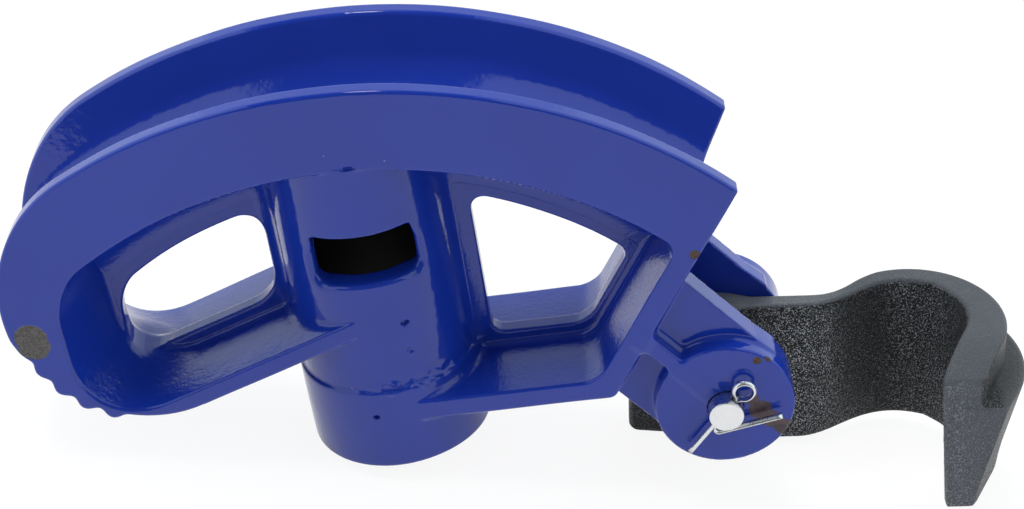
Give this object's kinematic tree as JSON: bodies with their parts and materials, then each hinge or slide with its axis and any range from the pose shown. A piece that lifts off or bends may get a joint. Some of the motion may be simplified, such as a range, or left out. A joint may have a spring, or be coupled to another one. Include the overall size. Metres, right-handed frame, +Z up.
{
  "type": "tube bender",
  "caption": "Cast tube bender head: an arc-shaped grooved shoe with a socket for a pipe handle, and a hook that swings on a clevis pin and holds the tube against the groove.",
  "frame": {"origin": "centre of the socket's mouth, on the handle's axis", "axes": "+Z up the socket towards the groove, +X towards the hook, +Y from the front of the head to its rear"},
  "size_m": [0.2742, 0.0567, 0.1547],
  "materials": {
    "blue_enamel": "glossy blue enamel on sand-cast iron, with chips and a bare worn patch",
    "black_casting": "black-coated sand casting, grainy and half matt",
    "zinc": "bright zinc plating"
  },
  "bodies": {
    "shoe": {"bending_shoe": "blue_enamel"},
    "hook": {"hook": "black_casting"},
    "pin": {"clevis_pin": "zinc", "split_pin": "zinc"}
  },
  "joints": [
    {"name": "hook_swing", "type": "hinge", "parent": "shoe", "child": "hook", "pos_m": [0.0913, 0, 0.0075], "axis": [0, -1, 0], "range_deg": [0, 62]},
    {"name": "pin_turn", "type": "hinge", "parent": "shoe", "child": "pin", "pos_m": [0.0913, 0, 0.0075], "axis": [0, -1, 0], "continuous": true}
  ]
}
